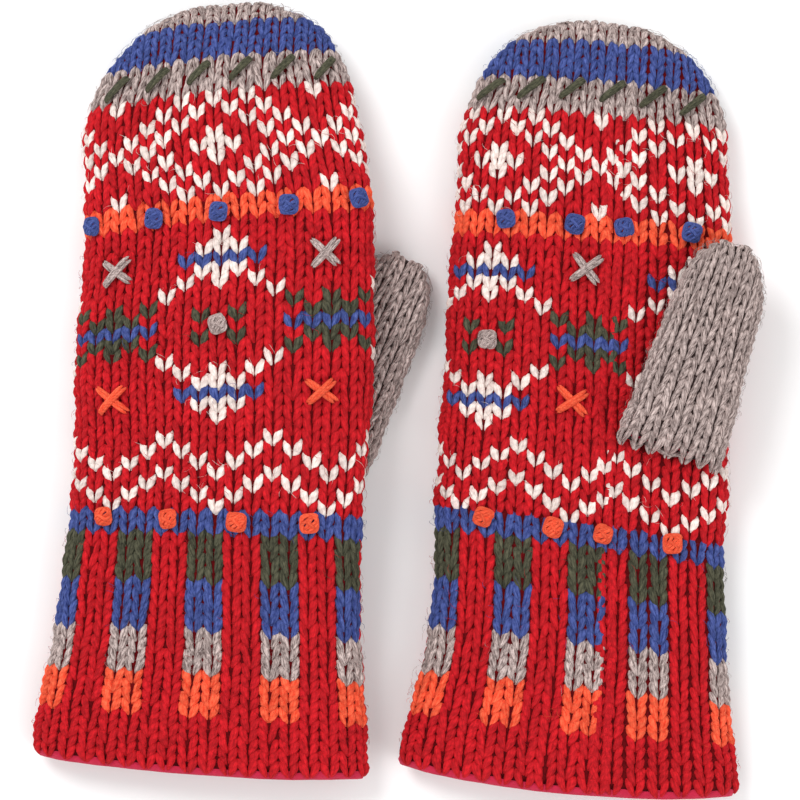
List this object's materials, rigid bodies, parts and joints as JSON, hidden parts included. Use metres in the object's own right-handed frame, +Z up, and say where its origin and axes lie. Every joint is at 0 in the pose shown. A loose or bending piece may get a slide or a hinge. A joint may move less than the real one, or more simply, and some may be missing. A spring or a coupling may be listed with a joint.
{
  "type": "pair of knitted mittens",
  "caption": "Pair of fleece-lined hand-knitted wool mittens with patterned shells, flared cuffs, plain grey thumbs and sewn wool knots and crosses.",
  "frame": {"origin": "centre of the pair's bounding box, on the table that both mittens lie on", "axes": "+Z up from the table, +Y towards the fingertips, +X from the left-hand mitten to the right-hand mitten"},
  "size_m": [0.2576, 0.2788, 0.0418],
  "materials": {
    "fair_isle_wool": "stranded knitting in red wool with cream, blue, dark green and orange",
    "red_wool": "dyed wool yarn",
    "heather_grey_wool": "marled undyed wool, soft halo",
    "blue_wool": "dyed wool yarn",
    "orange_wool": "dyed wool yarn",
    "dark_green_wool": "dyed wool yarn",
    "crimson_fleece": "brushed polyester fleece"
  },
  "bodies": {
    "right_palm": {"right_hand_shell": "fair_isle_wool", "right_knuckle_shell": "fair_isle_wool", "right_thumb_ring": "heather_grey_wool", "right_hand_lining": "crimson_fleece", "right_knuckle_lining": "crimson_fleece", "right_hand_seam": "red_wool", "right_blue_knots": "blue_wool", "right_orange_knots": "orange_wool", "right_grey_knots": "heather_grey_wool", "right_grey_crosses": "heather_grey_wool", "right_orange_crosses": "orange_wool"},
    "right_fingers": {"right_finger_shell": "fair_isle_wool", "right_finger_lining": "crimson_fleece", "right_finger_seam": "red_wool", "right_tip_whip_stitches": "dark_green_wool"},
    "right_thumb": {"right_thumb_shell": "heather_grey_wool", "right_thumb_lining": "crimson_fleece"},
    "left_palm": {"left_hand_shell": "fair_isle_wool", "left_knuckle_shell": "fair_isle_wool", "left_thumb_ring": "heather_grey_wool", "left_hand_lining": "crimson_fleece", "left_knuckle_lining": "crimson_fleece", "left_hand_seam": "red_wool", "left_blue_knots": "blue_wool", "left_orange_knots": "orange_wool", "left_grey_knots": "heather_grey_wool", "left_grey_crosses": "heather_grey_wool", "left_orange_crosses": "orange_wool"},
    "left_fingers": {"left_finger_shell": "fair_isle_wool", "left_finger_lining": "crimson_fleece", "left_finger_seam": "red_wool", "left_tip_whip_stitches": "dark_green_wool"},
    "left_thumb": {"left_thumb_shell": "heather_grey_wool", "left_thumb_lining": "crimson_fleece"}
  },
  "joints": [
    {"name": "pair_slide", "type": "slide", "parent": "right_palm", "child": "left_palm", "axis": [-1, 0, 0], "range_m": [0, 0.12]},
    {"name": "left_thumb_swing", "type": "hinge", "parent": "left_palm", "child": "left_thumb", "pos_m": [-0.0244, -0.01, 0.0138], "axis": [0, 0, -1], "range_deg": [-25, 1]},
    {"name": "left_finger_fold", "type": "hinge", "parent": "left_palm", "child": "left_fingers", "pos_m": [-0.059, 0.084, 0.0165], "axis": [0.9916, 0.0955, 0.0872], "range_deg": [0, 70], "deforming": ["left_knuckle_shell", "left_knuckle_lining"]},
    {"name": "right_thumb_swing", "type": "hinge", "parent": "right_palm", "child": "right_thumb", "pos_m": [0.0965, -0.009, 0.0238], "axis": [-0.0872, 0, -0.9962], "range_deg": [-15, 35]},
    {"name": "right_finger_fold", "type": "hinge", "parent": "right_palm", "child": "right_fingers", "pos_m": [0.0684, 0.0772, 0.0115], "axis": [0.9972, -0.075, 0], "range_deg": [0, 70], "deforming": ["right_knuckle_shell", "right_knuckle_lining"]}
  ]
}
